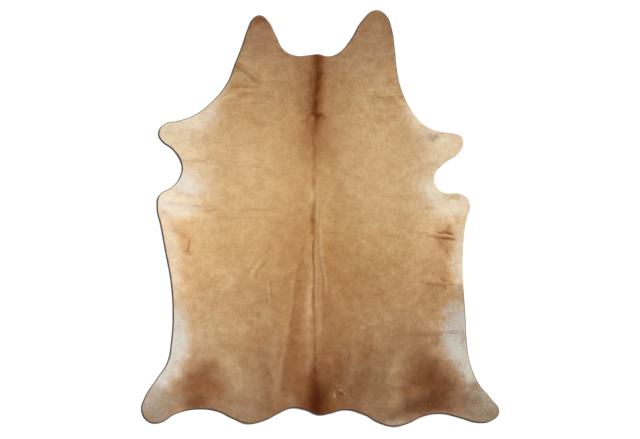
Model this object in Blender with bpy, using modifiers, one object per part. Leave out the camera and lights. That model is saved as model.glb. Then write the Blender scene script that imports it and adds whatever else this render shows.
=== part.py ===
# A whole cow hide with its hair on, cut flat as a rug: one piece, nothing sewn.
# The neck points along +Y, the rump along -Y, and the hair side is up.
# The underside lies on z = 0. All sizes are in metres.

from collections import namedtuple
import math

import bmesh
import bpy
from mathutils import Vector

HIDE_THICKNESS = 0.003      # leather with its short hair pressed flat
HIDE_COLOUR = (0.50, 0.30, 0.13, 1.0)
HIDE_ROUGHNESS = 0.85

SHEET_SIZE = 2.40           # square of leather that the outline is cut from
COARSE_CELLS = 30           # grid cells along one side of that square
FOLD_CUTS = 2               # times the grid is halved where a fold runs
CELL_MARGIN = 0.25          # part of a cell that the halving reaches past a fold

EDGE_STEPS = 4              # straight steps between two points of the cut edge
CUTTER_DEPTH = 0.10         # half height of the cutter, well past the sheet

FOLD_FADE = 0.14            # length over which the end of a fold dies away
MERGE_GAP = 0.0001

# Cut edge as (x, y) points, clockwise from the tip of the right neck flap.
# A soft curve joins them.
EDGE = {
    "right neck flap": [
        (0.280, 1.065), (0.335, 1.040), (0.365, 0.970), (0.380, 0.870), (0.392, 0.755),
    ],
    "right shoulder": [
        (0.415, 0.655), (0.465, 0.555), (0.535, 0.475), (0.605, 0.445), (0.670, 0.437),
    ],
    "right foreleg": [
        (0.715, 0.423), (0.729, 0.385), (0.705, 0.333), (0.630, 0.280),
    ],
    "right armpit": [
        (0.582, 0.215), (0.598, 0.155), (0.645, 0.130), (0.705, 0.128),
    ],
    "right flank": [
        (0.750, 0.104), (0.764, 0.060), (0.745, -0.010), (0.730, -0.130),
        (0.728, -0.300), (0.740, -0.480), (0.748, -0.630), (0.764, -0.735),
    ],
    "right hind leg": [
        (0.810, -0.845), (0.870, -0.918), (0.914, -0.990), (0.878, -1.033),
        (0.800, -1.045), (0.710, -1.020), (0.615, -1.000),
    ],
    "right rump": [
        (0.525, -1.013), (0.445, -1.050), (0.372, -1.064),
        (0.296, -1.046), (0.215, -1.000), (0.126, -0.981),
    ],
    "tail": [
        (0.050, -0.997), (-0.014, -1.007), (-0.075, -0.981), (-0.140, -0.970),
    ],
    "left rump": [
        (-0.210, -0.995), (-0.290, -1.036), (-0.375, -1.050), (-0.450, -1.024), (-0.530, -0.987),
    ],
    "left hind leg": [
        (-0.635, -0.977), (-0.735, -0.998), (-0.825, -1.047), (-0.880, -1.040),
        (-0.916, -0.985), (-0.898, -0.912), (-0.840, -0.822),
    ],
    "left flank": [
        (-0.785, -0.736), (-0.763, -0.620), (-0.756, -0.480), (-0.766, -0.325),
        (-0.795, -0.165), (-0.818, -0.040), (-0.838, 0.065),
    ],
    "left armpit": [
        (-0.825, 0.120), (-0.755, 0.165), (-0.718, 0.218), (-0.712, 0.280),
    ],
    "left foreleg": [
        (-0.755, 0.350), (-0.815, 0.397), (-0.830, 0.438), (-0.800, 0.482),
    ],
    "left shoulder": [
        (-0.725, 0.500), (-0.648, 0.527), (-0.560, 0.593), (-0.480, 0.690), (-0.440, 0.785),
    ],
    "left neck flap": [
        (-0.403, 0.882), (-0.373, 0.970), (-0.345, 1.024), (-0.308, 1.039),
        (-0.272, 1.015), (-0.225, 0.930), (-0.190, 0.865),
    ],
    "nape": [
        (-0.125, 0.832), (-0.065, 0.834), (-0.012, 0.840), (0.040, 0.829),
        (0.092, 0.847), (0.152, 0.913), (0.212, 1.012),
    ],
}

# Soft folds that lift the sheet off the floor. A route that ends outside the
# cut edge carries its fold over that edge; reach is half the fold's width.
Fold = namedtuple("Fold", "name route height reach")
FOLDS = [
    Fold("left of spine", [(-0.070, 0.42), (-0.070, -0.05), (-0.085, -0.25)], 0.0025, 0.036),
    Fold("right of spine", [(0.004, 0.36), (0.006, -0.11), (0.018, -0.25), (0.042, -0.40), (0.040, -1.12)],
         0.0040, 0.038),
    Fold("left rump, inner", [(-0.075, -0.34), (-0.100, -0.60), (-0.104, -1.12)], 0.0042, 0.040),
    Fold("left rump, outer", [(-0.190, -0.40), (-0.236, -0.70), (-0.231, -1.14)], 0.0050, 0.044),
    Fold("left thigh", [(-0.345, -0.60), (-0.370, -0.80), (-0.380, -1.20)], 0.0036, 0.050),
    Fold("right rump", [(0.160, -0.62), (0.200, -0.85), (0.205, -1.16)], 0.0040, 0.042),
    Fold("right thigh", [(0.330, -0.68), (0.375, -0.86), (0.392, -1.20)], 0.0045, 0.048),
    Fold("left flank", [(-0.370, -0.10), (-0.461, -0.315), (-0.528, -0.453), (-0.570, -0.62)],
         0.0038, 0.044),
    Fold("left shoulder", [(-0.860, 0.318), (-0.446, 0.290), (-0.150, 0.272)], 0.0030, 0.042),
    Fold("left armpit", [(-0.980, 0.150), (-0.740, 0.092), (-0.510, 0.064)], 0.0032, 0.040),
    Fold("left neck", [(-0.560, 0.868), (-0.400, 0.775), (-0.270, 0.690)], 0.0034, 0.040),
    Fold("right neck", [(0.200, 0.600), (0.330, 0.622), (0.560, 0.650)], 0.0030, 0.038),
    Fold("right flank", [(0.450, -0.328), (0.620, -0.340), (0.880, -0.352)], 0.0028, 0.040),
    Fold("right belly", [(0.440, -0.578), (0.600, -0.582), (0.880, -0.588)], 0.0030, 0.040),
]


def clear_scene():
    for item in list(bpy.data.objects):
        bpy.data.objects.remove(item, do_unlink=True)


def new_collection(name):
    collection = bpy.data.collections.new(name)
    bpy.context.scene.collection.children.link(collection)
    return collection


def leather_material():
    material = bpy.data.materials.new("hair-on leather")
    material.use_nodes = True
    shader = material.node_tree.nodes["Principled BSDF"]
    shader.inputs["Base Color"].default_value = HIDE_COLOUR
    shader.inputs["Roughness"].default_value = HIDE_ROUGHNESS
    shader.inputs["Metallic"].default_value = 0.0
    return material


# Distance from a point to a route of straight legs, with how far along the
# route the nearest place lies and how long the route is.
def place_on_route(point, route):
    nearest = math.inf
    along = 0.0
    run = 0.0
    for start, end in zip(route, route[1:]):
        leg = Vector(end) - Vector(start)
        offset = point - Vector(start)
        share = min(1.0, max(0.0, offset.dot(leg) / leg.length_squared))
        distance = (offset - leg * share).length
        if distance < nearest:
            nearest = distance
            along = run + leg.length * share
        run += leg.length
    return nearest, along, run


# Falls softly from 1 at share 0 to 0 at share 1.
def soft_fall(share):
    share = min(1.0, max(0.0, share))
    return 0.5 + 0.5 * math.cos(math.pi * share)


def fold_height(point):
    height = 0.0
    for fold in FOLDS:
        distance, along, length = place_on_route(point, fold.route)
        end = min(along, length - along)
        fade = 1.0 - soft_fall(end / FOLD_FADE)
        height += fold.height * fade * soft_fall(distance / fold.reach)
    return height


def near_a_fold(point, margin):
    return any(place_on_route(point, fold.route)[0] < fold.reach + margin for fold in FOLDS)


# Flat square grid, made finer along the folds and then lifted by them.
def folded_sheet():
    bpy.ops.mesh.primitive_grid_add(
        x_subdivisions=COARSE_CELLS, y_subdivisions=COARSE_CELLS, size=SHEET_SIZE)
    sheet = bpy.context.object
    grid = bmesh.new()
    grid.from_mesh(sheet.data)
    cell = SHEET_SIZE / COARSE_CELLS
    for _ in range(FOLD_CUTS):
        faces = [face for face in grid.faces
                 if near_a_fold(face.calc_center_median().xy, cell * CELL_MARGIN)]
        edges = list({edge for face in faces for edge in face.edges})
        bmesh.ops.subdivide_edges(grid, edges=edges, cuts=1, use_grid_fill=True)
        cell /= 2
    for corner in grid.verts:
        corner.co.z = fold_height(corner.co.xy)
    bmesh.ops.triangulate(grid, faces=grid.faces[:])
    grid.to_mesh(sheet.data)
    grid.free()
    return sheet


# Solid with the hide's outline, centred on its own bounding box.
def outline_cutter(collection):
    points = [point for stretch in EDGE.values() for point in stretch]
    curve = bpy.data.curves.new("outline", "CURVE")
    curve.dimensions = "2D"
    curve.fill_mode = "BOTH"
    curve.extrude = CUTTER_DEPTH
    curve.resolution_u = EDGE_STEPS
    spline = curve.splines.new("BEZIER")
    spline.bezier_points.add(len(points) - 1)
    for knot, (x, y) in zip(spline.bezier_points, points):
        knot.co = (x, y, 0.0)
        knot.handle_left_type = "AUTO"
        knot.handle_right_type = "AUTO"
    spline.use_cyclic_u = True
    outline = bpy.data.objects.new("outline", curve)
    collection.objects.link(outline)
    bpy.context.view_layer.update()

    evaluated = outline.evaluated_get(bpy.context.evaluated_depsgraph_get())
    mesh = bpy.data.meshes.new_from_object(evaluated)
    solid = bmesh.new()
    solid.from_mesh(mesh)
    bmesh.ops.remove_doubles(solid, verts=solid.verts[:], dist=MERGE_GAP)
    bmesh.ops.recalc_face_normals(solid, faces=solid.faces[:])
    xs = [corner.co.x for corner in solid.verts]
    ys = [corner.co.y for corner in solid.verts]
    centre = Vector(((min(xs) + max(xs)) / 2, (min(ys) + max(ys)) / 2, 0.0))
    bmesh.ops.translate(solid, verts=solid.verts[:], vec=-centre)
    solid.to_mesh(mesh)
    solid.free()

    cutter = bpy.data.objects.new("outline cutter", mesh)
    cutter.matrix_world = outline.matrix_world
    cutter.hide_render = True
    cutter.display_type = "WIRE"
    collection.objects.link(cutter)
    bpy.data.objects.remove(outline, do_unlink=True)
    return cutter


def build_hide(collection, cutter):
    hide = folded_sheet()
    hide.name = "hide"
    for owner in list(hide.users_collection):
        owner.objects.unlink(hide)
    collection.objects.link(hide)

    # the underside keeps the sheet's height, the hair side is built above it
    thickness = hide.modifiers.new("thickness", "SOLIDIFY")
    thickness.thickness = HIDE_THICKNESS
    thickness.offset = 1.0
    cut = hide.modifiers.new("cut edge", "BOOLEAN")
    cut.operation = "INTERSECT"
    cut.solver = "EXACT"
    cut.object = cutter
    hide.data.materials.append(leather_material())
    return hide


clear_scene()
hide_parts = new_collection("cow hide rug")
cutters = new_collection("cutters")
build_hide(hide_parts, outline_cutter(cutters))
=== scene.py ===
import math

import bmesh
import bpy
import numpy as np
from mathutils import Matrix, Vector
from mathutils.bvhtree import BVHTree
from mathutils.geometry import delaunay_2d_cdt
from mathutils.kdtree import KDTree


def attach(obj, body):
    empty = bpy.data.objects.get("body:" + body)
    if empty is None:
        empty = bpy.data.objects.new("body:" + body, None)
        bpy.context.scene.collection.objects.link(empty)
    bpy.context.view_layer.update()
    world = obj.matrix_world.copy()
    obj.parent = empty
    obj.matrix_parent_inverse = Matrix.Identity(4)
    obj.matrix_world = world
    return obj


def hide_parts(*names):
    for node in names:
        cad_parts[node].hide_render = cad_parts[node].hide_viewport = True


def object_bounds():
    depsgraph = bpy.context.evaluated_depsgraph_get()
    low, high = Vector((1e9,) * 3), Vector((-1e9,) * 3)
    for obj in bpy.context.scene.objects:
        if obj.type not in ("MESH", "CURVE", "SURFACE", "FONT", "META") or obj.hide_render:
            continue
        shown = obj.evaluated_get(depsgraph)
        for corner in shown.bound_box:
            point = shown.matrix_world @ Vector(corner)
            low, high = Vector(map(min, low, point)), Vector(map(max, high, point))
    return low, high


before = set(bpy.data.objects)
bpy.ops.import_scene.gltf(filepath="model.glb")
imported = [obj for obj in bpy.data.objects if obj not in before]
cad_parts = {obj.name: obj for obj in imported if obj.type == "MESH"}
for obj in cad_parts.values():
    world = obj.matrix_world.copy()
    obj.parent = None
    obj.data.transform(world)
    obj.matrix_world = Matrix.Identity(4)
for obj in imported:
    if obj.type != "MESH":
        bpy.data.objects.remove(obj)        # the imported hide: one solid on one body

cadLow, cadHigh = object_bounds()
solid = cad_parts["hide"]
millimetre = 0.001


# the lie of the hide, read off the solid

lie = {
    "ringStep": 6.0,        # mm between points of the cut edge
    "gridStep": 10.0,       # mm between height readings
    "softenRounds": 3,      # rounds that take the solid's facets out of the folds
    "creaseFade": 40.0,     # mm over which a crease fades at its ends
    "strokeFade": 20.0,     # and a stroke of tone in the hair
}


def mergedSolid():
    mesh = bmesh.new()
    mesh.from_mesh(solid.data)
    bmesh.ops.remove_doubles(mesh, verts=mesh.verts[:], dist=0.00001)
    return mesh


# ordered points of the hair side's edge, anticlockwise
def cutEdge(mesh):
    following = {}
    for face in mesh.faces:
        if face.normal.z < 0.5:
            continue
        for loop in face.loops:
            other = [f for f in loop.edge.link_faces if f is not face]
            if other and other[0].normal.z < 0.5:
                following[loop.vert] = loop.link_loop_next.vert
    start = next(iter(following))
    ring = [start]
    while following[ring[-1]] is not start:
        ring.append(following[ring[-1]])
    return np.array([vert.co.xy for vert in ring])


# even points along a closed smooth line through the given ones
def evenRing(points, step):
    before, after, beyond = np.roll(points, 1, 0), np.roll(points, -1, 0), np.roll(points, -2, 0)
    dense = []
    for share in np.linspace(0, 1, 8, endpoint=False):
        dense.append(0.5 * (2 * points + (after - before) * share
                            + (2 * before - 5 * points + 4 * after - beyond) * share ** 2
                            + (3 * points - before - 3 * after + beyond) * share ** 3))
    line = np.stack(dense, 1).reshape(-1, 2)
    legs = np.linalg.norm(np.roll(line, -1, 0) - line, axis=1)
    along = np.concatenate([[0], np.cumsum(legs)])
    closed = np.vstack([line, line[:1]])
    places = np.linspace(0, along[-1], int(along[-1] / step), endpoint=False)
    return np.stack([np.interp(places, along, closed[:, axis]) for axis in (0, 1)], 1)


def outward(ring):
    ahead = np.roll(ring, -1, 0) - np.roll(ring, 1, 0)
    ahead /= np.linalg.norm(ahead, axis=1)[:, None]
    return np.stack([ahead[:, 1], -ahead[:, 0]], 1)


# the distance is one number, or one for each point
def movedIn(ring, distance):
    return ring - outward(ring) * np.reshape(distance, (-1, 1))


def inside(points, ring):
    found = np.zeros(len(points), bool)
    x, y = points[:, 0], points[:, 1]
    for (ax, ay), (bx, by) in zip(ring, np.roll(ring, -1, 0)):
        if ay == by:
            continue
        crossed = (ay > y) != (by > y)
        found ^= crossed & (x < (bx - ax) * (y - ay) / (by - ay) + ax)
    return found


# height of the underside on a grid, softened a little
class FoldHeights:
    def __init__(self, mesh):
        self.step = lie["gridStep"] * millimetre
        margin = 4 * self.step
        self.low = np.array(cadLow.xy) - margin
        count = np.ceil((np.array(cadHigh.xy) + margin - self.low) / self.step).astype(int) + 1
        under = [face for face in mesh.faces if face.normal.z < -0.5]
        index = {vert: number for number, vert in enumerate(mesh.verts)}
        tree = BVHTree.FromPolygons(
            [vert.co for vert in mesh.verts], [[index[v] for v in face.verts] for face in under])
        heights = np.zeros(count)
        for column in range(count[0]):
            for row in range(count[1]):
                x, y = self.low + self.step * np.array([column, row])
                heights[column, row] = tree.find_nearest((x, y, 0))[0].z
        for _ in range(lie["softenRounds"]):
            for axis in (0, 1):
                heights = 0.5 * heights + 0.25 * (np.roll(heights, 1, axis) + np.roll(heights, -1, axis))
        self.heights = heights

    def at(self, points):
        place = (points - self.low) / self.step
        cell = np.floor(place).astype(int)
        cell = np.clip(cell, 0, np.array(self.heights.shape) - 2)
        part = place - cell
        column, row = cell[:, 0], cell[:, 1]
        across, up = part[:, 0], part[:, 1]
        near = self.heights[column, row] * (1 - across) + self.heights[column + 1, row] * across
        far = self.heights[column, row + 1] * (1 - across) + self.heights[column + 1, row + 1] * across
        return near * (1 - up) + far * up


solidMesh = mergedSolid()
edgeRing = evenRing(cutEdge(solidMesh), lie["ringStep"] * millimetre)
folds = FoldHeights(solidMesh)
solidMesh.free()
print("lie: edge of", len(edgeRing), "points")


# fine creases on top of the folds, by place, in millimetres from the middle of the hide:
# route, height (below 0 a trough), reach to each side
creases = [
    # spine
    ([(-34, 390), (-35, 100), (-33, -300), (-28, -800)], -0.3, 8),
    # fan of folds, left of the loin
    ([(-104, -220), (-129, -420), (-155, -590), (-180, -760), (-214, -920)], -1.2, 14),
    ([(-75, -120), (-82, -200), (-94, -310)], 1.1, 11),
    ([(-240, -140), (-290, -230), (-345, -340)], 2, 18),
    ([(-262, -150), (-312, -240), (-352, -320)], -0.8, 10),
    ([(-267, -310), (-270, -380), (-262, -450)], 1.6, 13),
    ([(-318, -480), (-306, -620), (-292, -760), (-222, -920)], -1.3, 20),
    # right of the spine
    ([(-2, -50), (5, -160), (16, -270), (30, -370)], 1.1, 12),
    # right rump and thigh
    ([(128, -660), (140, -800), (150, -950)], -1.2, 20),
    ([(262, -720), (275, -860), (262, -980)], -1.2, 20),
    # right side and elbow
    ([(50, -83), (240, -85), (440, -90)], -0.6, 9), ([(520, -70), (600, -81), (665, -92)], 0.6, 8),
    ([(560, -94), (610, -100), (665, -106)], -0.4, 9),
    # right flank
    ([(523, -330), (585, -336), (645, -338)], -0.5, 12),
    ([(650, -335), (690, -337), (735, -340)], 0.4, 7),
    # right belly
    ([(636, -588), (685, -590), (732, -588)], -0.7, 8),
    ([(718, -535), (738, -565), (730, -602), (712, -630)], -0.5, 7),
    # right hock
    ([(745, -878), (775, -862), (810, -842)], -0.6, 9),
    # left armpit
    ([(-728, 129), (-669, 117), (-594, 108)], -0.6, 18),
    ([(-779, 85), (-666, 71.5), (-550, 67)], -0.35, 14),
    # left shoulder
    ([(-700, 302), (-560, 298), (-440, 284)], -0.6, 8), ([(-470, 262), (-360, 276), (-260, 262)], 0.6, 9),
    # left neck
    ([(-430, 802), (-380, 770), (-330, 734), (-290, 712)], -1.3, 13),
    ([(-452, 712), (-390, 700), (-315, 660)], -0.5, 9),
    ([(-440, 606), (-340, 604), (-230, 602)], -0.5, 9),
    ([(-430, 520), (-350, 500), (-280, 505)], -0.4, 9),
    # right neck
    ([(240, 622), (330, 634), (410, 642)], -0.5, 8), ([(290, 520), (360, 512), (430, 520)], -0.5, 8),
    ([(200, 575), (300, 572), (390, 584)], -0.4, 7),
]


# each row of a table with its route as points in metres
def inMetres(rows):
    return [(np.array(route) / 1000, amount, reach) for route, amount, reach in rows]


# distance from a route, and how far along it from its nearer end
def routeDistance(points, route):
    nearest = np.full(len(points), np.inf)
    along = np.zeros(len(points))
    run = 0.0
    for start, end in zip(route[:-1], route[1:]):
        leg = end - start
        length = np.linalg.norm(leg)
        share = np.clip((points - start) @ leg / length ** 2, 0, 1)
        distance = np.linalg.norm(points - start - share[:, None] * leg, axis=1)
        closer = distance < nearest
        nearest[closer] = distance[closer]
        along[closer] = (run + share * length)[closer]
        run += length
    return nearest, np.minimum(along, run - along)


# what rows of strokes or creases add at each point: all of it on the route,
# none at its reach, and fading to the ends, a little unevenly
def alongRoutes(points, rows, fade):
    fadeLength = fade * millimetre
    total = np.zeros(len(points))
    for route, amount, reach in inMetres(rows):
        reach = reach * millimetre
        near = np.all((points > route.min(0) - 2 * reach) & (points < route.max(0) + 2 * reach), axis=1)
        x, y = points[near].T
        wander = np.stack([np.sin(31 * y + 9 * x + 1.3) + 0.6 * np.sin(83 * y - 17 * x),
                           np.sin(29 * x - 7 * y + 0.7) + 0.6 * np.sin(77 * x + 13 * y)], 1)
        distance, toEnd = routeDistance(points[near] + 0.18 * min(reach, 0.016) * wander, route)
        bump = np.cos(0.5 * math.pi * np.clip(distance / reach, 0, 1)) ** 2
        ends = np.sin(0.5 * math.pi * np.clip((toEnd + 0.3 * fadeLength) / (1.3 * fadeLength), 0, 1))
        rough = min(1, 0.012 / reach)       # a broad row is the evener one
        uneven = 0.85 + rough * (0.22 * np.sin(41 * x + 23 * y + 100 * reach)
                                 + 0.18 * np.sin(97 * y - 61 * x))
        total[near] += amount * bump * ends * uneven
    return total


def creaseHeights(points):
    return alongRoutes(points, creases, lie["creaseFade"]) * millimetre


# rows of points along each crease, so that the sheet's faces can follow it
def creaseRows(step):
    rows = []
    for route, _, reach in inMetres(creases):
        legs = np.linalg.norm(np.diff(route, axis=0), axis=1)
        along = np.concatenate([[0], np.cumsum(legs)])
        places = np.arange(0, along[-1], step)
        middle = np.stack([np.interp(places, along, route[:, axis]) for axis in (0, 1)], 1)
        ahead = np.gradient(middle, axis=0)
        ahead /= np.linalg.norm(ahead, axis=1)[:, None]
        side = np.stack([-ahead[:, 1], ahead[:, 0]], 1)
        for offset in (-1, -0.5, 0, 0.5, 1):
            rows.append(middle + side * offset * reach * millimetre)
    return np.vstack(rows)


# a tree that finds the nearest of a ring's points
def ringTree(ring):
    tree = KDTree(len(ring))
    for number, (x, y) in enumerate(ring):
        tree.insert((x, y, 0), number)
    tree.balance()
    return tree


# flat triangles over the hide's outline
def flatSheet(ring, sheet):
    draw = np.random.default_rng(sheet["seed"])
    step, jitter = sheet["step"] * millimetre, sheet["jitter"]
    low, high = ring.min(0), ring.max(0)
    columns = np.arange(low[0], high[0], step)
    rows = np.arange(low[1], high[1], step * 0.866)       # rows of even-sided triangles
    x, y = np.meshgrid(columns, rows)
    x[1::2] += step / 2
    lattice = np.stack([x.ravel(), y.ravel()], 1)
    lattice += draw.uniform(-jitter, jitter, lattice.shape) * step
    for route, _, reach in inMetres(creases):
        distance, _ = routeDistance(lattice, route)
        lattice = lattice[distance > reach * millimetre + 0.4 * step]
    points = np.vstack([lattice, creaseRows(step * 0.9)])
    points = points[inside(points, ring)]
    edge = ringTree(ring)
    points = points[[edge.find((x, y, 0))[2] > 0.6 * step for x, y in points]]
    corners = [Vector(point) for point in np.vstack([ring, points])]
    made = delaunay_2d_cdt(corners, [], [list(range(len(ring)))], 1, 0.000001)
    return np.array([tuple(corner) for corner in made[0]]), [tuple(face) for face in made[2]]


def newPiece(name, corners, faces, material):
    mesh = bpy.data.meshes.new(name)
    mesh.from_pydata(corners, [], faces)
    mesh.materials.append(material)
    mesh.validate()
    piece = bpy.data.objects.new(name, mesh)
    bpy.context.scene.collection.objects.link(piece)
    return piece


# a value of every item of a mesh, one row for each
def readAll(items, name, width, kind):
    values = np.zeros(len(items) * width, kind)
    items.foreach_get(name, values)
    return values.reshape(-1, width)


# one number at each corner of a piece, for its material to read
def setValues(piece, name, values):
    piece.data.attributes.new(name, "FLOAT", "POINT").data.foreach_set("value", values)


# each face corner's place on the piece's own map
def layMap(piece, spots):
    layer = piece.data.uv_layers.new(name="OFBake")
    assert len(spots) == len(layer.data)
    layer.data.foreach_set("uv", np.asarray(spots, np.float32).ravel())


# the map of a piece seen from above
def layMapFromAbove(piece):
    flat = readAll(piece.data.vertices, "co", 3, float)[:, :2]
    corner = readAll(piece.data.loops, "vertex_index", 1, int)[:, 0]
    low, high = flat.min(0), flat.max(0)
    layMap(piece, (0.01 + 0.98 * (flat - low) / (high - low).max())[corner])


# every piece of the hide rides on its one body and stands for its one solid
def joinHide(piece):
    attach(piece, "root")
    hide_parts("hide")
    return piece


print("helpers ready")


# shader maths: a socket, or the start of a material's nodes
class Wire:
    def __init__(self, tree, socket=None):
        self.tree = tree
        self.socket = socket

    # settings come first, since they decide which sockets a node has
    def node(self, kind, settings=None, sockets=None, out=0):
        made = self.tree.nodes.new(kind)
        for name, value in (settings or {}).items():
            if name == "stops":
                fillRamp(made.color_ramp, value)
            else:
                setattr(made, name, value)
        for name, value in (sockets or {}).items():
            if isinstance(value, Wire):
                self.tree.links.new(made.inputs[name], value.socket)
            else:
                made.inputs[name].default_value = value
        return Wire(self.tree, made.outputs[out]) if made.outputs else None

    def maths(self, operation, *others):
        return self.node("ShaderNodeMath", {"operation": operation}, dict(enumerate((self, *others))))

    def __add__(self, other):
        return self.maths("ADD", other)

    def __sub__(self, other):
        return self.maths("SUBTRACT", other)

    def __mul__(self, other):
        return self.maths("MULTIPLY", other)

    def __rsub__(self, other):
        return (self * -1.0).maths("ADD", other)

    def __truediv__(self, other):
        return self.maths("DIVIDE", other)

    def __abs__(self):
        return self.maths("ABSOLUTE")

    __radd__ = __add__
    __rmul__ = __mul__

    def clamped(self):
        return self.node("ShaderNodeClamp", None, {"Value": self}, "Result")

    def joined(self, green, blue):
        return self.node("ShaderNodeCombineColor", None, {0: self, 1: green, 2: blue})

    # a lift or a fall in tone as a colour to multiply by, with its depth in red, green and blue
    def asTone(self, depths):
        red, green, blue = (self * depth + 1.0 for depth in depths)
        return red.joined(green, blue)

    def asGrey(self):
        return self.joined(self, self)

    # 0 at start and 1 at end, softly
    def softly(self, start, end):
        return self.node("ShaderNodeMapRange", {"interpolation_type": "SMOOTHSTEP"},
                         {"Value": self, "From Min": start, "From Max": end})

    def vectorMaths(self, operation, other, out=0):
        return self.node("ShaderNodeVectorMath", {"operation": operation}, {0: self, 1: other}, out)

    def moved(self, by):
        return self.vectorMaths("ADD", by)

    def stretched(self, by):
        return self.vectorMaths("MULTIPLY", by)

    def dot(self, other):
        return self.vectorMaths("DOT_PRODUCT", other, "Value")

    def scaled(self, factor):
        return self.node("ShaderNodeVectorMath", {"operation": "SCALE"}, {0: self, "Scale": factor})

    def axis(self, name):
        return self.node("ShaderNodeSeparateXYZ", None, {0: self}, name)

    # this colour turned into another by a factor
    def towards(self, colour, factor, blend="MIX"):
        return self.node("ShaderNodeMix", {"data_type": "RGBA", "blend_type": blend},
                         {0: factor, 6: self, 7: colour}, 2)

    def noise(self, scale, detail=2.0, roughness=0.5, out="Fac"):
        return self.node("ShaderNodeTexNoise", None, {
            "Vector": self, "Scale": scale, "Detail": detail, "Roughness": roughness}, out)

    def attribute(self, name):
        return self.node("ShaderNodeAttribute", {"attribute_name": name}, None, "Fac")

    # a height as a bump: strength, and depth in mm
    def bump(self, strength, depth):
        return self.node("ShaderNodeBump", None, {
            "Strength": strength, "Distance": depth * millimetre, "Height": self})

    # the finished surface of a material
    def surface(self, colour, roughness, gloss, bump=None):
        sockets = {"Base Color": colour, "Roughness": roughness, "Specular IOR Level": gloss}
        if bump:
            sockets["Normal"] = bump
        shader = self.node("ShaderNodeBsdfPrincipled", None, sockets)
        self.node("ShaderNodeOutputMaterial", None, {"Surface": shader})


def fillRamp(ramp, stops):
    while len(ramp.elements) < len(stops):
        ramp.elements.new(0.5)
    for element, (place, colour) in zip(ramp.elements, stops):
        element.position = place
        element.color = colour


# a colour as seen on a screen, made linear and set against the light
def paint(red, green, blue, gain=1.0):
    linear = [(part / 255) ** 2.2 * gain for part in (red, green, blue)]
    return (*linear, 1.0)


def newMaterial(name):
    material = bpy.data.materials.new(name)
    material.use_nodes = True
    material.node_tree.nodes.clear()
    return material, Wire(material.node_tree)


# the coat's colours: three runs from tail to neck, in metres from the middle of the hide
coat = {
    "gain": 1.005,          # paint to light
    "low": -1.07,           # ends of the three colour runs below
    "high": 1.07,
    "back": [               # along the spine, from the tail up
        (-0.95, (134, 90, 58)), (-0.76, (148, 102, 68)), (-0.50, (166, 123, 81)), (-0.15, (178, 134, 86)),
        (0.15, (193, 152, 103)), (0.50, (180, 139, 94)), (0.85, (159, 121, 87)),
    ],
    "side": [               # half way out
        (-1.03, (150, 120, 93)), (-0.72, (165, 130, 93)), (-0.39, (182, 143, 101)), (-0.12, (194, 156, 108)),
        (0.12, (204, 170, 125)), (0.30, (202, 168, 124)), (0.55, (188, 152, 108)), (0.80, (172, 139, 105)),
        (1.00, (142, 105, 75)),
    ],
    "flank": [              # outermost
        (-0.80, (178, 138, 104)), (-0.60, (196, 165, 130)), (-0.30, (205, 166, 121)), (0.00, (221, 190, 148)),
        (0.14, (220, 203, 178)), (0.35, (220, 199, 167)), (0.52, (219, 203, 180)), (0.70, (200, 172, 136)),
    ],
    "spineX": -0.028,
    "backToSide": (0.06, 0.36),
    "sideToFlank": (0.42, 0.70),
    "darkening": (0.81, 0.60, 0.97),        # fall in red, and further falls in green and blue
    # lightest colour of the strokes: of pale marks, and of painted highlights on the folds
    "lightMarkAndHighlight": (236, 208, 168),
    "toneLimits": (-0.92, 0.85),    # darkest and lightest that the strokes make it
    "softness": 0.9,                # of a patch's rim, where its row gives none
    "ragged": [                     # noises that draw the patches' rims out: features in a metre, detail,
        (14, 2, 0.5, 0.070), (60, 4, 0.65, 0.028),      # roughness, reach in metres
    ],
    "grain": (700, 0.2, 0.35, 0.8),     # of the hair: features in a metre, stretch, strength, mm deep
    "roughness": 0.8,
    "gloss": 0.04,
}

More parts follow.
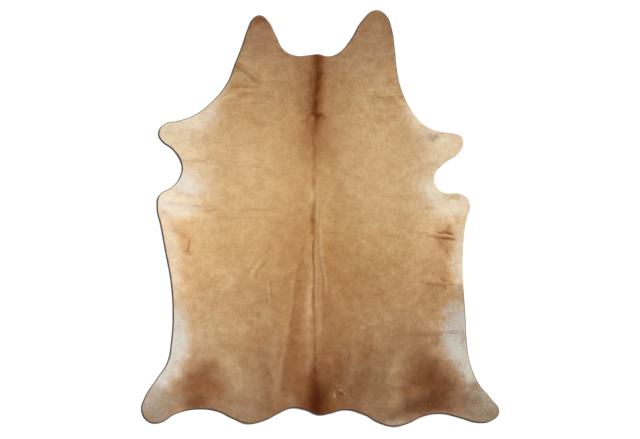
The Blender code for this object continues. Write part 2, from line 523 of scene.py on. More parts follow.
# patches of colour, by place: middle and half sizes in millimetres, turn in degrees, colour, strength
# and, where it isn't the usual one, softness of the rim
patches = [
    # nape and withers
    (-20, 630, 88, 280, 0, (132, 76, 38), 0.46), (-28, 530, 60, 50, 0, (120, 68, 34), 0.55),
    (-28, 420, 75, 140, 0, (160, 106, 62), 0.6), (50, 350, 90, 110, 20, (174, 126, 78), 0.45),
    # tail
    (-18, -910, 92, 165, 0, (114, 66, 34), 0.75), (-10, -950, 66, 98, 0, (86, 40, 14), 0.8, 0.8),
    # left thigh
    (-588, -792, 62, 68, 0, (124, 76, 42), 0.78), (-636, -862, 94, 78, -15, (128, 80, 48), 0.82, 0.8),
    (-632, -942, 88, 52, -10, (108, 66, 40), 0.85, 0.8), (-540, -880, 76, 90, 0, (138, 90, 56), 0.66),
    (-720, -925, 50, 45, -30, (158, 122, 90), 0.6),
    # right thigh
    (545, -795, 100, 108, 10, (106, 56, 28), 0.88, 0.8),
    (636, -872, 80, 112, 22, (110, 64, 38), 0.82, 0.8), (498, -862, 74, 96, 0, (116, 70, 40), 0.68),
    (512, -960, 162, 46, 4, (98, 58, 32), 0.82, 0.8), (575, -920, 70, 40, 12, (88, 46, 20), 0.7),
    (484, -886, 38, 28, 20, (158, 112, 76), 0.56), (438, -890, 48, 44, 0, (134, 88, 56), 0.5),
    (366, -930, 50, 45, 0, (184, 148, 108), 0.65),
    # right haunch, loin and rump
    (450, -650, 180, 150, 0, (148, 108, 78), 0.45), (240, -310, 150, 140, 0, (168, 122, 76), 0.5),
    (215, -850, 200, 190, 0, (126, 87, 57), 0.52), (372, -1046, 72, 24, 5, (184, 162, 136), 0.6),
    # left rump, loin and ribs
    (-560, -550, 130, 145, 20, (194, 163, 125), 0.44), (-410, -500, 120, 110, 0, (196, 158, 116), 0.5),
    (-510, -265, 90, 100, 0, (216, 180, 136), 0.4),
    # outside of the right haunch, middle of the loin
    (505, -720, 60, 100, 0, (134, 90, 58), 0.45), (-10, -560, 80, 120, 0, (174, 132, 92), 0.4),
    # neck, ribs and shoulder
    (-400, 700, 130, 260, 15, (160, 124, 88), 0.35), (-420, 250, 260, 420, 0, (196, 158, 112), 0.35),
    (270, 400, 220, 420, 0, (212, 178, 132), 0.38),
    # left belly
    (-738, -612, 66, 188, 3, (206, 201, 190), 0.95, 0.7),
    (-800, -800, 56, 128, -32, (206, 202, 190), 0.95, 0.7),
    (-728, -788, 34, 90, -28, (206, 182, 148), 0.5),
    # left hind foot
    (-850, -935, 120, 85, 0, (180, 168, 153), 0.9, 0.8),
    (-830, -1005, 100, 52, -10, (148, 131, 114), 0.82), (-815, -1038, 95, 26, -6, (146, 126, 106), 0.8),
    (-760, -930, 90, 60, 10, (150, 120, 92), 0.6),
    # right belly; the thin grey band along its crease is painted shade
    (696, -562, 82, 162, 0, (192, 185, 176), 0.95, 0.6), (680, -578, 50, 11, 0, (172, 158, 156), 0.65),
    (735, -735, 52, 150, 20, (200, 195, 181), 0.95, 0.7),
    # right hind foot
    (830, -960, 130, 110, 30, (149, 131, 110), 0.9, 0.8),
    (838, -914, 100, 42, -38, (170, 157, 140), 0.82), (890, -1005, 85, 40, -8, (142, 124, 102), 0.8),
    (755, -1020, 125, 26, -10, (150, 133, 115), 0.76),
    # right hock and thigh rim
    (735, -912, 70, 80, 20, (126, 97, 72), 0.66), (690, -790, 40, 95, 25, (150, 118, 92), 0.55),
    # right elbow and flank
    (630, -128, 60, 100, 0, (178, 122, 72), 0.62), (585, -410, 108, 150, 0, (162, 118, 78), 0.54),
    (728, -200, 52, 190, 0, (217, 203, 178), 0.9, 0.8), (735, -400, 60, 50, 0, (172, 144, 110), 0.8),
    # left flank
    (-772, -190, 60, 270, 3, (222, 203, 178), 0.8), (-750, -318, 40, 66, 6, (224, 204, 180), 0.6),
    (-640, -150, 80, 140, 0, (204, 162, 112), 0.22),
    # left armpit and girth
    (-680, 185, 90, 58, -20, (222, 216, 210), 0.95), (-625, 216, 68, 70, 0, (218, 194, 158), 0.66),
    (-735, 60, 115, 62, -6, (229, 215, 196), 0.86, 0.8), (-814, 98, 42, 30, 20, (236, 229, 216), 0.72),
    # right armpit and girth
    (585, 150, 62, 58, 0, (232, 220, 200), 0.9), (562, 266, 60, 36, 0, (200, 170, 126), 0.5),
    (670, 55, 110, 50, 14, (232, 218, 194), 0.9, 0.8), (690, 100, 40, 10, 12, (196, 156, 108), 0.55),
    # left foreleg and shoulder
    (-770, 408, 106, 88, 0, (209, 188, 158), 0.66), (-620, 508, 105, 50, 18, (222, 210, 190), 0.8),
    (-538, 608, 34, 105, -38, (216, 198, 168), 0.7), (-370, 560, 130, 120, 0, (180, 142, 96), 0.4),
    # right foreleg
    (494, 522, 52, 98, 38, (232, 216, 188), 0.76), (640, 360, 100, 70, 0, (228, 208, 176), 0.7),
    (578, 412, 38, 16, 0, (178, 154, 138), 0.7, 0.8),
    # neck edges
    (-345, 915, 70, 80, 0, (150, 116, 90), 0.5), (-318, 1012, 55, 32, 0, (116, 78, 50), 0.75),
    (270, 930, 110, 180, 0, (172, 135, 100), 0.55), (372, 705, 58, 120, 0, (190, 150, 108), 0.46),
    # gold on the left flank
    (-690, -95, 46, 85, 20, (210, 156, 98), 0.36),
]

# fine strokes of tone, by place, in millimetres: route, tone (below 0 darker, above 0 lighter), reach
# to each side. Some are marks of the coat; many along the folds are painted shade in the troughs and
# painted highlights on the ridges
strokes = [
    # nape stripe
    ([(-11, 880), (-14, 717), (-20, 640), (-30, 550)], -0.46, 62),
    ([(-11, 860), (-14, 740), (-18, 640)], -0.28, 30), ([(-13, 735), (-18, 620)], -0.18, 22),
    ([(-40, 620), (-10, 627)], -0.2, 10), ([(-24, 615), (-24, 585), (-32, 535)], -0.36, 24),
    ([(-50, 760), (-54, 715), (-46, 660)], -0.18, 9), ([(8, 870), (7, 780), (0, 700)], -0.16, 9),
    # spine
    ([(-34, 430), (-32, 230)], -0.22, 15), ([(-32, 225), (-33, 150)], -0.34, 15),
    ([(-33, 85), (-34, 30)], -0.3, 15), ([(-34, 35), (-38, -80)], -0.5, 21),
    ([(-35, -95), (-33, -450)], -0.42, 8), ([(-33, -450), (-28, -620), (-27, -790)], -0.32, 9),
    # tail
    ([(-26, -760), (-22, -830), (-16, -900), (-10, -1040)], -0.32, 34),
    ([(-52, -800), (-42, -900), (-34, -1000)], -0.28, 40), ([(-150, -900), (-136, -975)], 0.12, 44),
    # beside the spine: light streaks of the coat, a painted highlight along the ridge right of the spine and
    # painted shade beyond it
    ([(-14.5, 215), (-14, 100), (-16, -20)], 0.2, 9),
    ([(-18, -20), (-23, -100), (-21, -270), (-16, -450)], 0.2, 9), ([(-52, 215), (-48, 90)], 0.12, 16),
    ([(-45, -95), (-45, -310)], 0.12, 9), ([(0, 120), (20, -10)], 0.14, 70),
    ([(-45, -280), (-49, -390), (-58, -500)], 0.17, 18),
    ([(-2, -45), (1, -111), (5, -162), (14, -250)], 0.3, 11),
    ([(12, -235), (24, -300), (34, -400)], 0.16, 11), ([(34, -140), (52, -440), (65, -700)], -0.08, 34),
    ([(-76, -170), (-70, -250)], 0.12, 11),
    ([(-55, -140), (-56, -340), (-62, -540), (-58, -750), (-62, -860)], 0.13, 30),
    ([(-10, -80), (-5, -240), (0, -440), (-4, -620)], 0.12, 20),
    # fan of folds, left of the loin: painted shade along the troughs and their turned-away sides, painted
    # highlights along the ridges
    ([(-83, -140), (-112, -340), (-130, -500), (-138, -700), (-142, -860)], -0.07, 56),
    ([(-107, -230), (-121, -314), (-133, -440)], -0.16, 10),
    ([(-133, -440), (-149, -551), (-171, -665), (-181, -740), (-200, -883)], -0.12, 12),
    ([(-116, -460), (-130, -551), (-154, -665), (-163, -740), (-180, -883)], -0.1, 28),
    ([(-126, -240), (-134, -314), (-150, -457), (-165, -551), (-189, -665), (-199, -740),
      (-208, -800)], 0.11, 19),
    ([(-248, -500), (-244, -646), (-234, -883)], 0.09, 42),
    ([(-364, -440), (-335, -600), (-300, -750), (-262, -880)], -0.1, 56),
    ([(-315, -457), (-318, -600), (-298, -788)], -0.11, 12),
    ([(-277, -153), (-334, -258), (-360, -335)], 0.14, 15),
    ([(-262, -185), (-300, -255), (-322, -290)], -0.16, 11),
    ([(-270, -160), (-330, -225), (-368, -270)], -0.13, 12),
    ([(-390, -245), (-420, -275), (-485, -366)], 0.1, 18),
    ([(-267, -305), (-264, -392), (-255, -438)], 0.1, 11), ([(-252, -305), (-250, -400)], -0.14, 11),
    ([(-324, -423), (-304, -418), (-286, -409), (-268, -428)], -0.18, 7),
    ([(-483, -331), (-511, -387)], 0.16, 11), ([(-497, -448), (-520, -474)], 0.14, 10),
    # left rump
    ([(-478, -695), (-438, -770), (-400, -880)], 0.21, 75), ([(-345, -952), (-235, -955)], -0.16, 60),
    # right ribs
    ([(520, -200), (575, -250)], -0.09, 70),
    # flecks on the left flank and loin
    ([(-642, -430), (-632, -455)], -0.2, 16), ([(-310, -470), (-302, -490)], -0.16, 14),
    ([(-407.5, -491), (-406.5, -497)], -1.2, 6),
    # right rump and thigh: broad bands of painted shade and painted light beside its two folds
    ([(85, -660), (101, -910)], -0.14, 42), ([(167, -670), (155, -850)], 0.08, 28),
    ([(244, -540), (231, -700), (206, -910)], -0.14, 48), ([(397, -700), (350, -860)], 0.12, 52),
    # blots of the back
    ([(-6, 345), (18, 350)], -0.2, 26), ([(-225, -20), (-180, -30)], -0.13, 48),
    ([(90, 200), (115, 170)], -0.1, 44),
    # blots of the left shoulder
    ([(-615, 395), (-550, 420)], -0.14, 56), ([(-665, 440), (-630, 430)], -0.12, 34),
    ([(-570, 330), (-545, 320)], -0.12, 40),
    # right side, from flank to hem
    ([(605, -200), (640, -340)], -0.11, 40), ([(500, 60), (600, 52)], -0.12, 16),
    ([(490, -588), (588, -594), (580, -650)], -0.24, 44),
    ([(430, -1022), (520, -988), (620, -974), (720, -996)], -0.2, 34),
    # left flank
    ([(-766, -10), (-690, -110)], -0.1, 30),
    # left girth: painted shade in its two creases and painted light on the ridge between them, and two more
    # dark lines
    ([(-770, 106), (-680, 95), (-600, 90)], 0.24, 13),
    ([(-728, 129), (-669, 117), (-594, 108)], -0.14, 18),
    ([(-779, 83), (-666, 70.5), (-550, 66)], -0.18, 9), ([(-600, 44), (-560, 43), (-510, 49)], -0.2, 16),
    ([(-805, 45), (-775, 25)], -0.16, 20),
    # ribs: painted shade along the wrinkles across the ribs
    ([(-420, 44), (-313, 50), (-193, 38)], -0.18, 8), ([(-507, 2), (-267, 8)], -0.12, 8),
    ([(50, -10), (180, -22), (320, -14)], -0.12, 8), ([(60, -83), (240, -88), (440, -92)], -0.16, 7),
    # left shoulder: painted shade in its crease and a painted highlight on the ridge beside it
    ([(-705, 298), (-575, 298)], -0.22, 8), ([(-507, 280), (-385, 244), (-242, 267)], 0.16, 12),
    # line on the left flank
    ([(-665, -100), (-668, -130), (-675, -165), (-690, -166)], -0.44, 8),
    ([(-680, -170), (-640, -176)], -0.26, 26), ([(-745, -60), (-705, -85), (-671, -77)], -0.12, 14),
    # right elbow: dark red-brown marks, with a painted highlight on the ridge and painted shade in the trough
    # below it
    ([(448, -64), (557, -74)], -0.2, 6), ([(535, -84), (595, -94)], -0.28, 6),
    ([(548, -76.5), (616, -81), (675, -92)], 0.55, 5), ([(574, -94), (628, -98), (683, -102)], -0.7, 14),
    ([(592, -75), (636, -69), (672, -74)], -0.68, 15), ([(664, -26), (640, -60)], -0.36, 18),
    ([(604, -104), (610, -138)], -0.26, 16), ([(640, -145), (655, -205)], -0.24, 14),
    # right flank: dark marks, and painted shade along its crease with painted light beside it
    ([(525, -330), (612, -338), (663, -337), (724.5, -341)], -0.15, 13),
    ([(540, -330), (640, -346)], -0.22, 22), ([(600, -352), (700, -346)], 0.18, 10),
    ([(608, -300), (632, -315), (655, -317)], -0.44, 7), ([(626, -344), (645, -356)], -0.44, 10),
    ([(566, -275), (567, -282)], -0.7, 7), ([(578, -418), (594, -424)], -0.3, 14),
    ([(650, -165), (660, -196)], -0.34, 9),
    # left neck: painted shade along its wrinkles and painted light between them
    ([(-430, 802), (-366, 742), (-300, 680)], -0.34, 18), ([(-465, 673), (-300, 675)], -0.18, 11),
    ([(-500, 620), (-430, 632)], 0.36, 18), ([(-433, 626), (-340, 640), (-240, 626)], -0.22, 13),
    ([(-420, 580), (-230, 612)], -0.12, 12), ([(-344, 495), (-267, 480)], -0.15, 22),
    # right neck: painted shade along its wrinkles with painted light between them, and marks of the coat
    ([(230, 626), (330, 621), (430, 629)], -0.15, 11), ([(218, 594), (372, 592)], 0.1, 12),
    ([(270, 515), (423, 518)], -0.13, 20), ([(360, 715), (374, 695)], -0.3, 17),
    ([(350, 990), (364, 930)], -0.18, 26), ([(285, 1005), (300, 985)], 0.16, 30),
    ([(352, 660), (400, 605), (446, 556)], 0.24, 22),
    # crown
    ([(-30, 540), (-51, 531), (-66, 516), (-68, 502)], -0.46, 9),
    ([(-67, 502), (-79, 508), (-98, 500)], -0.4, 8),
    ([(-32, 537), (-13, 526), (3, 533), (16, 512)], -0.5, 9),
    ([(-38, 556), (-18, 549), (-6, 536)], -0.24, 7), ([(-76, 482), (-58, 470), (-50, 452)], -0.22, 7),
    ([(-23, 534), (-21, 480), (-30, 425)], -0.42, 34), ([(-24, 530), (-21, 508)], -0.3, 13),
    ([(-42, 521), (-38, 504)], 0.44, 9),
    # scar on the rump
    ([(77, -848), (90, -855), (102, -849), (114, -858), (120, -868)], 0.46, 6),
    ([(96, -868), (112, -878)], 1, 8), ([(115, -883), (129, -894)], 0.8, 7),
    ([(78, -884), (69, -894), (70, -905), (77, -914)], 0.38, 7), ([(96, -888), (119, -894)], -0.6, 7),
    ([(98, -861), (112, -865)], -0.6, 7),
    # scratch on the rump
    ([(201, -561), (289, -525)], 0.28, 6),
    # right belly: painted shade in its creases
    ([(640, -587), (735, -587)], -0.16, 10),
    ([(708, -544), (730, -578), (734, -611), (713, -638)], -0.24, 7),
    ([(622, -575), (600, -605), (592, -650)], -0.22, 10),
    # right hock: painted shade in its crease
    ([(770, -864), (802, -844)], -0.36, 8),
]


# how far each point's hair is darkened or lightened by the strokes
def strokeTone(points):
    return np.clip(alongRoutes(points, strokes, lie["strokeFade"]), *coat["toneLimits"])


# the hair's colour at a place, with ragged patch rims
def coatColour(place):
    warped = place
    for scale, detail, roughness, reach in coat["ragged"]:
        noise = place.noise(scale, detail, roughness, "Color")
        warped = warped.moved(noise.moved((-0.5, -0.5, -0.5)).scaled(reach))
    share = (warped.axis("Y") - coat["low"]) * (1 / (coat["high"] - coat["low"]))
    out = abs(warped.axis("X") - coat["spineX"])
    runs = {}
    for name in ("back", "side", "flank"):
        stops = [((y - coat["low"]) / (coat["high"] - coat["low"]), paint(*rgb, coat["gain"]))
                 for y, rgb in coat[name]]
        runs[name] = share.node("ShaderNodeValToRGB", {"stops": stops}, {"Fac": share}, "Color")
    colour = runs["back"].towards(runs["side"], out.softly(*coat["backToSide"]))
    colour = colour.towards(runs["flank"], out.softly(*coat["sideToFlank"]))
    for x, y, halfWidth, halfLength, turn, rgb, strength, *own in patches:
        softness = own[0] if own else coat["softness"]
        offset = warped.moved((-x / 1000, -y / 1000, 0))
        width, length = halfWidth / 1000, halfLength / 1000
        cosine, sine = math.cos(math.radians(turn)), math.sin(math.radians(turn))
        across = offset.dot((cosine / width, sine / width, 0))
        along = offset.dot((-sine / length, cosine / length, 0))
        distance = (across * across + along * along).maths("SQRT")
        mask = distance.softly(1 + softness * 0.6, 1 - softness) * strength
        colour = colour.towards(paint(*rgb, coat["gain"]), mask)
    # the strokes' tone: marks of the coat, with painted shade and painted highlights along the folds
    tone = place.attribute("stroke")
    colour = darkened(colour, (tone * -1).clamped())
    return colour.towards(paint(*coat["lightMarkAndHighlight"], coat["gain"]), tone.clamped())


# dark hair is redder as well as darker, and so is the painted shade of the strokes
def darkened(colour, share):
    fall, green, blue = coat["darkening"]
    red = 1.0 - share * fall
    fallen = red.joined(red * (1.0 - share * green), red * (1.0 - share * blue))
    return colour.towards(fallen, 1.0, "MULTIPLY")


# cloudiness of the hair: features in a metre, strength
mottle = {
    "broad": [(11, 2, 0.34), (24, 3, 0.56)],        # and the noise's detail
    "broadDepths": (0.62, 1.08, 1.75),              # in red, green and blue
    "fine": [(60, 3, 0.31), (130, 2, 0.18)],
    "fineDepths": (0.80, 1.03, 1.42),
    "across": (120, 0.31),      # fine streaks across the body
    "along": (120, 0.20),       # and along it, on the rump
    "stretch": 0.13,
    "rump": (-0.25, -0.55),     # from the ribs to the rump, metres
    "hue": (30, 0.34),
    "warmer": (255, 226, 205),
    "cooler": (246, 250, 222),
    "locks": 0.18,              # from lock to lock
    "flecks": (150, 0.64, 0.76, 0.26),      # with the noise's range that counts as a fleck
    "flecked": (0.10, -0.30),   # from the middle to the loin, metres
    "bend": (7, 0.06),          # of the streaks, and its reach in metres
    "calm": (0.26, (-0.35, -0.05), (0.62, 0.42)),      # over the back, between these lengths
    "pale": (0.46, 0.80, 0.50),     # blue over red from which the hair counts as pale, and calms down
}


def streaks(place, stretch, scale):
    return place.stretched(stretch).noise(scale, 3, 0.6) - 0.5


# how strongly the hair is mottled: less where it is pale, and over the back
def mottleStrength(colour, place):
    red, blue = (colour.node("ShaderNodeSeparateColor", None, {"Color": colour}, part)
                 for part in ("Red", "Blue"))
    start, end, calming = mottle["pale"]
    strong = 1.0 - (blue / red).softly(start, end) * calming
    calming, start, end = mottle["calm"]
    return strong * (1.0 - place.axis("Y").softly(*start) * place.axis("Y").softly(*end) * calming)


def clouds(place, layers):
    total = 0.0
    for scale, detail, strength in layers:
        total = total + (place.noise(scale, detail) - 0.5) * strength
    return total


def mottled(colour, place):
    strong = mottleStrength(colour, place)
    broad, fine = clouds(place, mottle["broad"]), clouds(place, mottle["fine"])
    scale, reach = mottle["bend"]
    bent = place.moved(place.noise(scale, 2, 0.5, "Color").scaled(reach))
    rump = place.axis("Y").softly(*mottle["rump"])
    scale, strength = mottle["across"]
    fine = fine + streaks(bent, (mottle["stretch"], 1.0, 1.0), scale) * (1.0 - rump) * strength
    scale, strength = mottle["along"]
    fine = fine + streaks(bent, (1.0, mottle["stretch"], 1.0), scale) * rump * strength
    colour = colour.towards((broad * strong).asTone(mottle["broadDepths"]), 1.0, "MULTIPLY")
    colour = colour.towards((fine * strong).asTone(mottle["fineDepths"]), 1.0, "MULTIPLY")
    scale, low, high, strength = mottle["flecks"]
    fleck = bent.noise(scale, 1).softly(low, high) * place.axis("Y").softly(*mottle["flecked"])
    colour = darkened(colour, fleck * strong * strength)
    scale, strength = mottle["hue"]
    hue = place.moved((3.1, 7.7, 0.0)).noise(scale, 2)      # away from the other noises
    for name, end in (("warmer", 0.75), ("cooler", 0.25)):
        colour = colour.towards(paint(*mottle[name]), hue.softly(0.5, end) * strong * strength, "MULTIPLY")
    return colour


def coatMaterial(name, locks):
    material, start = newMaterial(name)
    place = start.node("ShaderNodeTexCoord", None, None, "Object")
    colour = mottled(coatColour(place), place)
    if locks:
        tone = (start.attribute("tone") - 0.5) * mottle["locks"]
        colour = colour.towards(tone.asTone(mottle["fineDepths"]), 1.0, "MULTIPLY")
    scale, stretch, strength, depth = coat["grain"]
    grain = place.stretched((1.0, stretch, 1.0)).noise(scale, 3)
    start.surface(colour, coat["roughness"], coat["gloss"], grain.bump(strength, depth))
    return material


# leather: the skin under the hair, a closed sheet with a cut edge
leather = {
    "flesh": (214, 199, 172),
    "fleshDark": (186, 166, 136),
    "cut": (102, 93, 83),   # hair side and cut edge
    "nap": (900, 0.25, 0.5, 0.5),       # features in a metre, shading, bump's strength, mm deep
    "roughness": 0.9,
    "gloss": 0.2,
    "thickness": 2.0,       # mm
    "step": 14.0,           # mm between points
    "jitter": 0.12,         # share of a step by which points stray
    "seed": 5,
}

# the rim: mm inside the solid's edge, more on the sides that turn away from the lamp: the dark leather laid
# bare there is partly the cut edge, and its extra width on those sides is painted shade
rim = {
    "leather": 0.3,
    "leatherShaded": 0.0,
    "hair": 4.2,
    "hairShaded": 6.8,
    "hairPale": 0.3,                # along the pale right flank, where no dark leather shows
    "paleFrom": (0.42, -0.36),      # metres
    "paleTo": (0.95, 0.66),
    "shaded": (-0.80, -0.60),       # the way those sides face
    "from": 0.10,                   # how squarely they face it before the rim starts to shift
    "to": 0.60,                     # and where it has shifted fully
    "softenRounds": 6,
}


def insetBy(ring, lit, shaded):
    share = (outward(ring) @ rim["shaded"] - rim["from"]) / (rim["to"] - rim["from"])
    inset = lit + (shaded - lit) * np.clip(share, 0, 1)
    for _ in range(rim["softenRounds"]):
        inset = 0.5 * inset + 0.25 * (np.roll(inset, 1) + np.roll(inset, -1))
    return inset * millimetre


def leatherInset(ring):
    return insetBy(ring, np.full(len(ring), rim["leather"]), rim["leatherShaded"])


# the hair stops short of the edge so that dark leather shows; the wider band on the sides turned from the
# lamp is painted shade
def hairInset(ring):
    pale = np.all((ring > rim["paleFrom"]) & (ring < rim["paleTo"]), axis=1)
    return insetBy(ring, np.where(pale, rim["hairPale"], rim["hair"]), rim["hairShaded"])


def leatherMaterial():
    material, start = newMaterial("napped leather")
    place = start.node("ShaderNodeTexCoord", None, None, "Object")
    cloud = place.noise(12, 4, 0.6).softly(0.3, 0.7)
    scale, shading, strength, depth = leather["nap"]
    nap = place.noise(scale, 3, 0.7)
    colour = start.node("ShaderNodeMix", {"data_type": "RGBA"}, {
        0: cloud, 6: paint(*leather["flesh"]), 7: paint(*leather["fleshDark"])}, 2)
    colour = colour.towards(paint(*leather["cut"]), start.attribute("hairSide"))
    colour = colour.towards((nap * shading + 0.87).asGrey(), 1.0, "MULTIPLY")
    start.surface(colour, leather["roughness"], leather["gloss"], nap.bump(strength, depth))
    return material


# underside and hair side next to each other, and the cut edge as a strip over both
def skinMap(flat, faces, around):
    spread = flat - flat.min(0)
    spread *= 0.48 / spread.max(0)[0]
    spots = []
    for face in faces:
        spots += [spread[i] + (0.01, 0.01) for i in face[::-1]]
    for here in range(around):
        before, after = here / around, (here + 1) / around
        spots += [(before, 0.90), (after, 0.90), (after, 0.94), (before, 0.94)]
    for face in faces:
        spots += [spread[i] + (0.51, 0.01) for i in face]
    return spots


def makeSkin():
    ring = movedIn(edgeRing, leatherInset(edgeRing))
    flat, faces = flatSheet(ring, leather)
    under = folds.at(flat)
    crease = creaseHeights(flat)
    low = np.column_stack([flat, np.maximum(under + crease, 0)])
    high = np.column_stack([flat, under + crease + leather["thickness"] * millimetre])
    high[:, 2] = np.maximum(high[:, 2], low[:, 2] + 0.001)
    count = len(flat)
    walls = []
    for here in range(len(ring)):
        after = (here + 1) % len(ring)
        walls.append((here, after, after + count, here + count))
    closed = [face[::-1] for face in faces] + walls + [tuple(i + count for i in face) for face in faces]
    piece = newPiece("hide_skin", np.vstack([low, high]), closed, leatherMaterial())
    for face in piece.data.polygons:
        face.use_smooth = abs(face.normal.z) > 0.5
    setValues(piece, "hairSide", np.repeat([0.0, 1.0], count))
    layMap(piece, skinMap(flat, faces, len(ring)))
    return joinHide(piece)


# undercoat: the hair's even surface, one cap over the leather
undercoat = {
    "step": 8.5,            # mm between points
    "jitter": 0.15,
    "seed": 9,
    "height": 2.9,          # mm above the underside
    "roll": [(1.4, 0.00), (0.5, -0.25), (0.0, -0.95)],      # mm inside the hair's rim, mm below the height
}


def makeUndercoat(material):
    inset = hairInset(edgeRing)
    inner = movedIn(edgeRing, inset + undercoat["roll"][0][0] * millimetre)
    flat, faces = flatSheet(inner, undercoat)
    heights = folds.at(flat) + creaseHeights(flat) + undercoat["height"] * millimetre
    corners = [np.column_stack([flat, heights])]
    faces = list(faces)
    count = len(inner)
    first, total = 0, len(flat)
    for further, drop in undercoat["roll"][1:]:
        ring = movedIn(edgeRing, inset + further * millimetre)
        level = folds.at(ring) + creaseHeights(ring) + (undercoat["height"] + drop) * millimetre
        corners.append(np.column_stack([ring, level]))
        for here in range(count):
            after = (here + 1) % count
            faces.append((total + here, total + after, first + after, first + here))
        first, total = total, total + count
    corners = np.vstack(corners)
    piece = newPiece("hide_undercoat", corners, faces, material)
    for face in piece.data.polygons:
        face.use_smooth = True
    setValues(piece, "stroke", strokeTone(corners[:, :2]))
    layMapFromAbove(piece)
    return joinHide(piece)


skinPiece = makeSkin()
undercoatPiece = makeUndercoat(coatMaterial("short hair", False))
print("skin and undercoat:", len(skinPiece.data.polygons), len(undercoatPiece.data.polygons))


# hair: short flat locks, each two faces, drawn from the undercoat
hair = {
    "count": 94000,         # locks in each quarter
    "length": (8.0, 15.0),  # mm
    "halfWidth": (0.55, 1.05),
    "rise": (0.2, 0.8),     # mm that a tip stands off
    "roll": 0.08,           # mm that one side stands over the other
    "sink": 0.3,            # mm that a base lies in the undercoat
    "widest": (0.35, 0.25),     # share of its length, and of its rise
    "wander": 12,           # degrees
    "overhang": 0.8,        # mm that tips may pass the hair's rim
    "rimReach": 20.0,       # mm from the rim within which locks are cut to it
    "seed": 21,
    "lean": (62, 0.75),     # degrees out from the spine, and the metres out at which it is full
    "swirl": (0.25, 0.18),  # a broad and a fine wave, radians
    "crown": (0.50, 0.06, 0.16),    # metres: where the nape's hair parts, over how much, half its width
    "crownPull": (2.4, 0.9),        # up the nape and out from the crown
}


# the way the hair lies, as unit vectors: up from the crown on the nape, tailward
# along the back and out towards the flanks
def hairFlow(points):
    x, y = points[:, 0] - coat["spineX"], points[:, 1]
    degrees, full = hair["lean"]
    lean = np.clip(np.abs(x) / full, 0, 1) ** 0.7 * math.radians(degrees)
    broad, fine = hair["swirl"]
    swirl = broad * np.sin(7 * points[:, 0] + 3 * y) + fine * np.sin(19 * y - 11 * points[:, 0])
    angle = np.sign(x) * lean + swirl
    across, along = np.sin(angle), -np.cos(angle)
    start, depth, halfWidth = hair["crown"]
    crown = np.clip((y - start) / depth, 0, 1) * np.clip(1 - np.abs(x) / halfWidth, 0, 1)
    up, out = hair["crownPull"]
    along = along + up * crown
    across = across + out * np.sign(x) * crown * (1 - crown)
    flow = np.stack([across, along], 1)
    return flow / np.maximum(np.linalg.norm(flow, axis=1), 1e-6)[:, None]


# share of its length that a lock keeps so as to end at the hair's rim
def roomToGrow(roots, tips):
    ring = movedIn(edgeRing, hairInset(edgeRing))
    facing, tree, overhang = outward(ring), ringTree(ring), hair["overhang"] * millimetre
    share = np.ones(len(roots))
    for number, (root, tip) in enumerate(zip(roots.tolist(), tips.tolist())):
        _, index, distance = tree.find((tip[0], tip[1], 0))
        if distance > hair["rimReach"] * millimetre:
            continue
        beyond = (tip - ring[index]) @ facing[index]
        within = (ring[index] - root) @ facing[index]
        if beyond > overhang:
            share[number] = max(0.2, (within + overhang) / max(within + beyond, 1e-6))
    return share


# random places on one quarter of the undercoat, even by area, and the way up at each
def hairRoots(draw, column, row):
    mesh = undercoatPiece.data
    mesh.calc_loop_triangles()
    places = readAll(mesh.vertices, "co", 3, float)
    corners = readAll(mesh.loop_triangles, "vertices", 3, int)
    a, b, c = (places[corners[:, k]] for k in range(3))
    middle = (a + b + c) / 3
    normals = np.cross(b - a, c - a)
    area = np.linalg.norm(normals, axis=1) / 2
    quarter = ((middle[:, 0] > 0) == bool(column)) & ((middle[:, 1] > 0) == bool(row))
    chance = np.where(quarter & (normals[:, 2] > area), area, 0)
    count = hair["count"]
    chosen = draw.choice(len(area), count, p=chance / chance.sum())
    u, v = draw.random(count), draw.random(count)
    flip = u + v > 1
    u[flip], v[flip] = 1 - u[flip], 1 - v[flip]
    root = a[chosen] + u[:, None] * (b - a)[chosen] + v[:, None] * (c - a)[chosen]
    return root, (normals / (2 * area[:, None]))[chosen]


# the way each lock points: along the flow, strayed a little and laid on the surface
def lockAhead(draw, root, up):
    flow = hairFlow(root[:, :2])
    stray = np.radians(draw.normal(0, hair["wander"], len(root)))
    ahead = np.column_stack([
        flow[:, 0] * np.cos(stray) - flow[:, 1] * np.sin(stray),
        flow[:, 0] * np.sin(stray) + flow[:, 1] * np.cos(stray), np.zeros(len(root))])
    ahead -= up * np.sum(ahead * up, axis=1)[:, None]
    return ahead / np.linalg.norm(ahead, axis=1)[:, None]


# four corners for each lock: base, right, tip and left
def lockCorners(draw, root, up, ahead):
    def drawn(low, high):
        return draw.uniform(low, high, len(root))[:, None]

    side = np.cross(up, ahead)
    length = drawn(*hair["length"]) * millimetre
    length *= roomToGrow(root[:, :2], (root + ahead * length)[:, :2])[:, None]
    width = drawn(*hair["halfWidth"]) * millimetre
    rise = drawn(*hair["rise"]) * millimetre
    roll = drawn(-1, 1) * hair["roll"] * millimetre
    along, raised = hair["widest"]
    base = root - up * hair["sink"] * millimetre
    left = root + ahead * length * along + side * width + up * (rise * raised + roll)
    right = root + ahead * length * along - side * width + up * (rise * raised - roll)
    tip = root + ahead * length + up * rise
    return np.stack([base, right, tip, left], 1).reshape(-1, 3)


def makeHair(name, column, row, material):
    draw = np.random.default_rng(hair["seed"] + 2 * column + row)
    root, up = hairRoots(draw, column, row)
    corners = lockCorners(draw, root, up, lockAhead(draw, root, up))
    number = np.arange(len(root)) * 4
    # two faces meet along the lock's ridge from base to tip
    faces = np.concatenate([
        np.stack([number, number + 1, number + 2], 1), np.stack([number, number + 2, number + 3], 1)])
    piece = newPiece(name, corners, faces.tolist(), material)
    setValues(piece, "tone", np.repeat(draw.random(len(root)), 4))
    setValues(piece, "stroke", np.repeat(strokeTone(root[:, :2]), 4))
    layMapFromAbove(piece)
    return joinHide(piece)


lockMaterial = coatMaterial("hair locks", True)
for row, part in enumerate(("rump", "shoulder")):
    for column, side in enumerate(("left", "right")):
        makeHair("hair_" + side + "_" + part, column, row, lockMaterial)


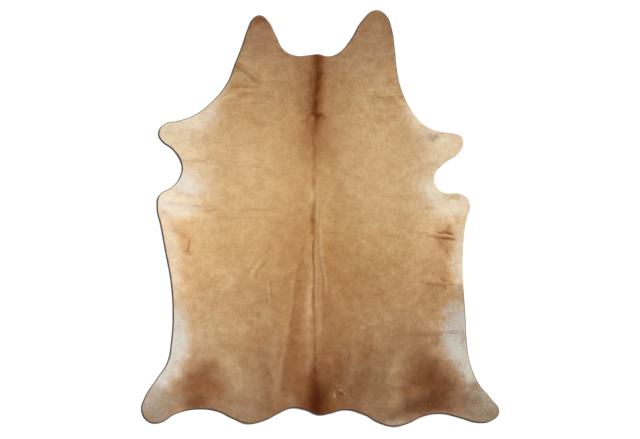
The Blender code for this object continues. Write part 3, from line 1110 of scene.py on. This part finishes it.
# studio: white floor, one lamp from the upper right, even fill, camera straight above
studio = {
    "floor": 120.0,             # metres across
    "floorHeight": -0.0002,     # metres: just under the hide
    "floorColour": 0.92,
    "sunPower": 4.1,
    "sunSpread": 8.0,           # degrees
    "sunHeight": 36.0,          # degrees above the floor
    "sunBearing": 45.0,         # degrees from +X towards +Y
    "fill": 0.40,
    "viewWidth": 3.272,         # metres across the picture at the hair
    "viewCentre": (-0.0014, -0.0061),
    "cameraHeight": 8.0,
}


def makeFloor():
    bpy.ops.object.select_all(action="DESELECT")
    bpy.ops.mesh.primitive_plane_add(size=studio["floor"], location=(0, 0, studio["floorHeight"]))
    floor = bpy.context.object
    floor.name = "floor"
    material, start = newMaterial("white floor")
    start.surface((*[studio["floorColour"]] * 3, 1.0), 1.0, 0.0)
    floor.data.materials.append(material)


def makeFill():
    world = bpy.data.worlds.new("studio")
    bpy.context.scene.world = world
    world.use_nodes = True
    background = world.node_tree.nodes["Background"]
    background.inputs["Color"].default_value = (1, 1, 1, 1)
    background.inputs["Strength"].default_value = studio["fill"]


def makeLamp():
    sun = bpy.data.lights.new("key", "SUN")
    sun.energy = studio["sunPower"]
    sun.angle = math.radians(studio["sunSpread"])
    lamp = bpy.data.objects.new("key", sun)
    bearing, height = math.radians(studio["sunBearing"]), math.radians(studio["sunHeight"])
    towards = Vector((math.cos(bearing) * math.cos(height), math.sin(bearing) * math.cos(height),
                      math.sin(height)))
    lamp.rotation_mode = "QUATERNION"
    lamp.rotation_quaternion = towards.to_track_quat("Z", "Y")
    lamp.location = towards * 5
    bpy.context.scene.collection.objects.link(lamp)


def makeCamera():
    lens = bpy.data.cameras.new("camera")
    camera = bpy.data.objects.new("camera", lens)
    bpy.context.scene.collection.objects.link(camera)
    x, y = studio["viewCentre"]
    camera.location = (x, y, studio["cameraHeight"])
    lens.sensor_width = 36.0
    lens.lens = lens.sensor_width * studio["cameraHeight"] / studio["viewWidth"]
    lens.clip_end = 100
    bpy.context.scene.camera = camera
    bpy.context.scene.view_settings.view_transform = "Standard"


makeFloor()
makeFill()
makeLamp()
makeCamera()
print("studio ready")
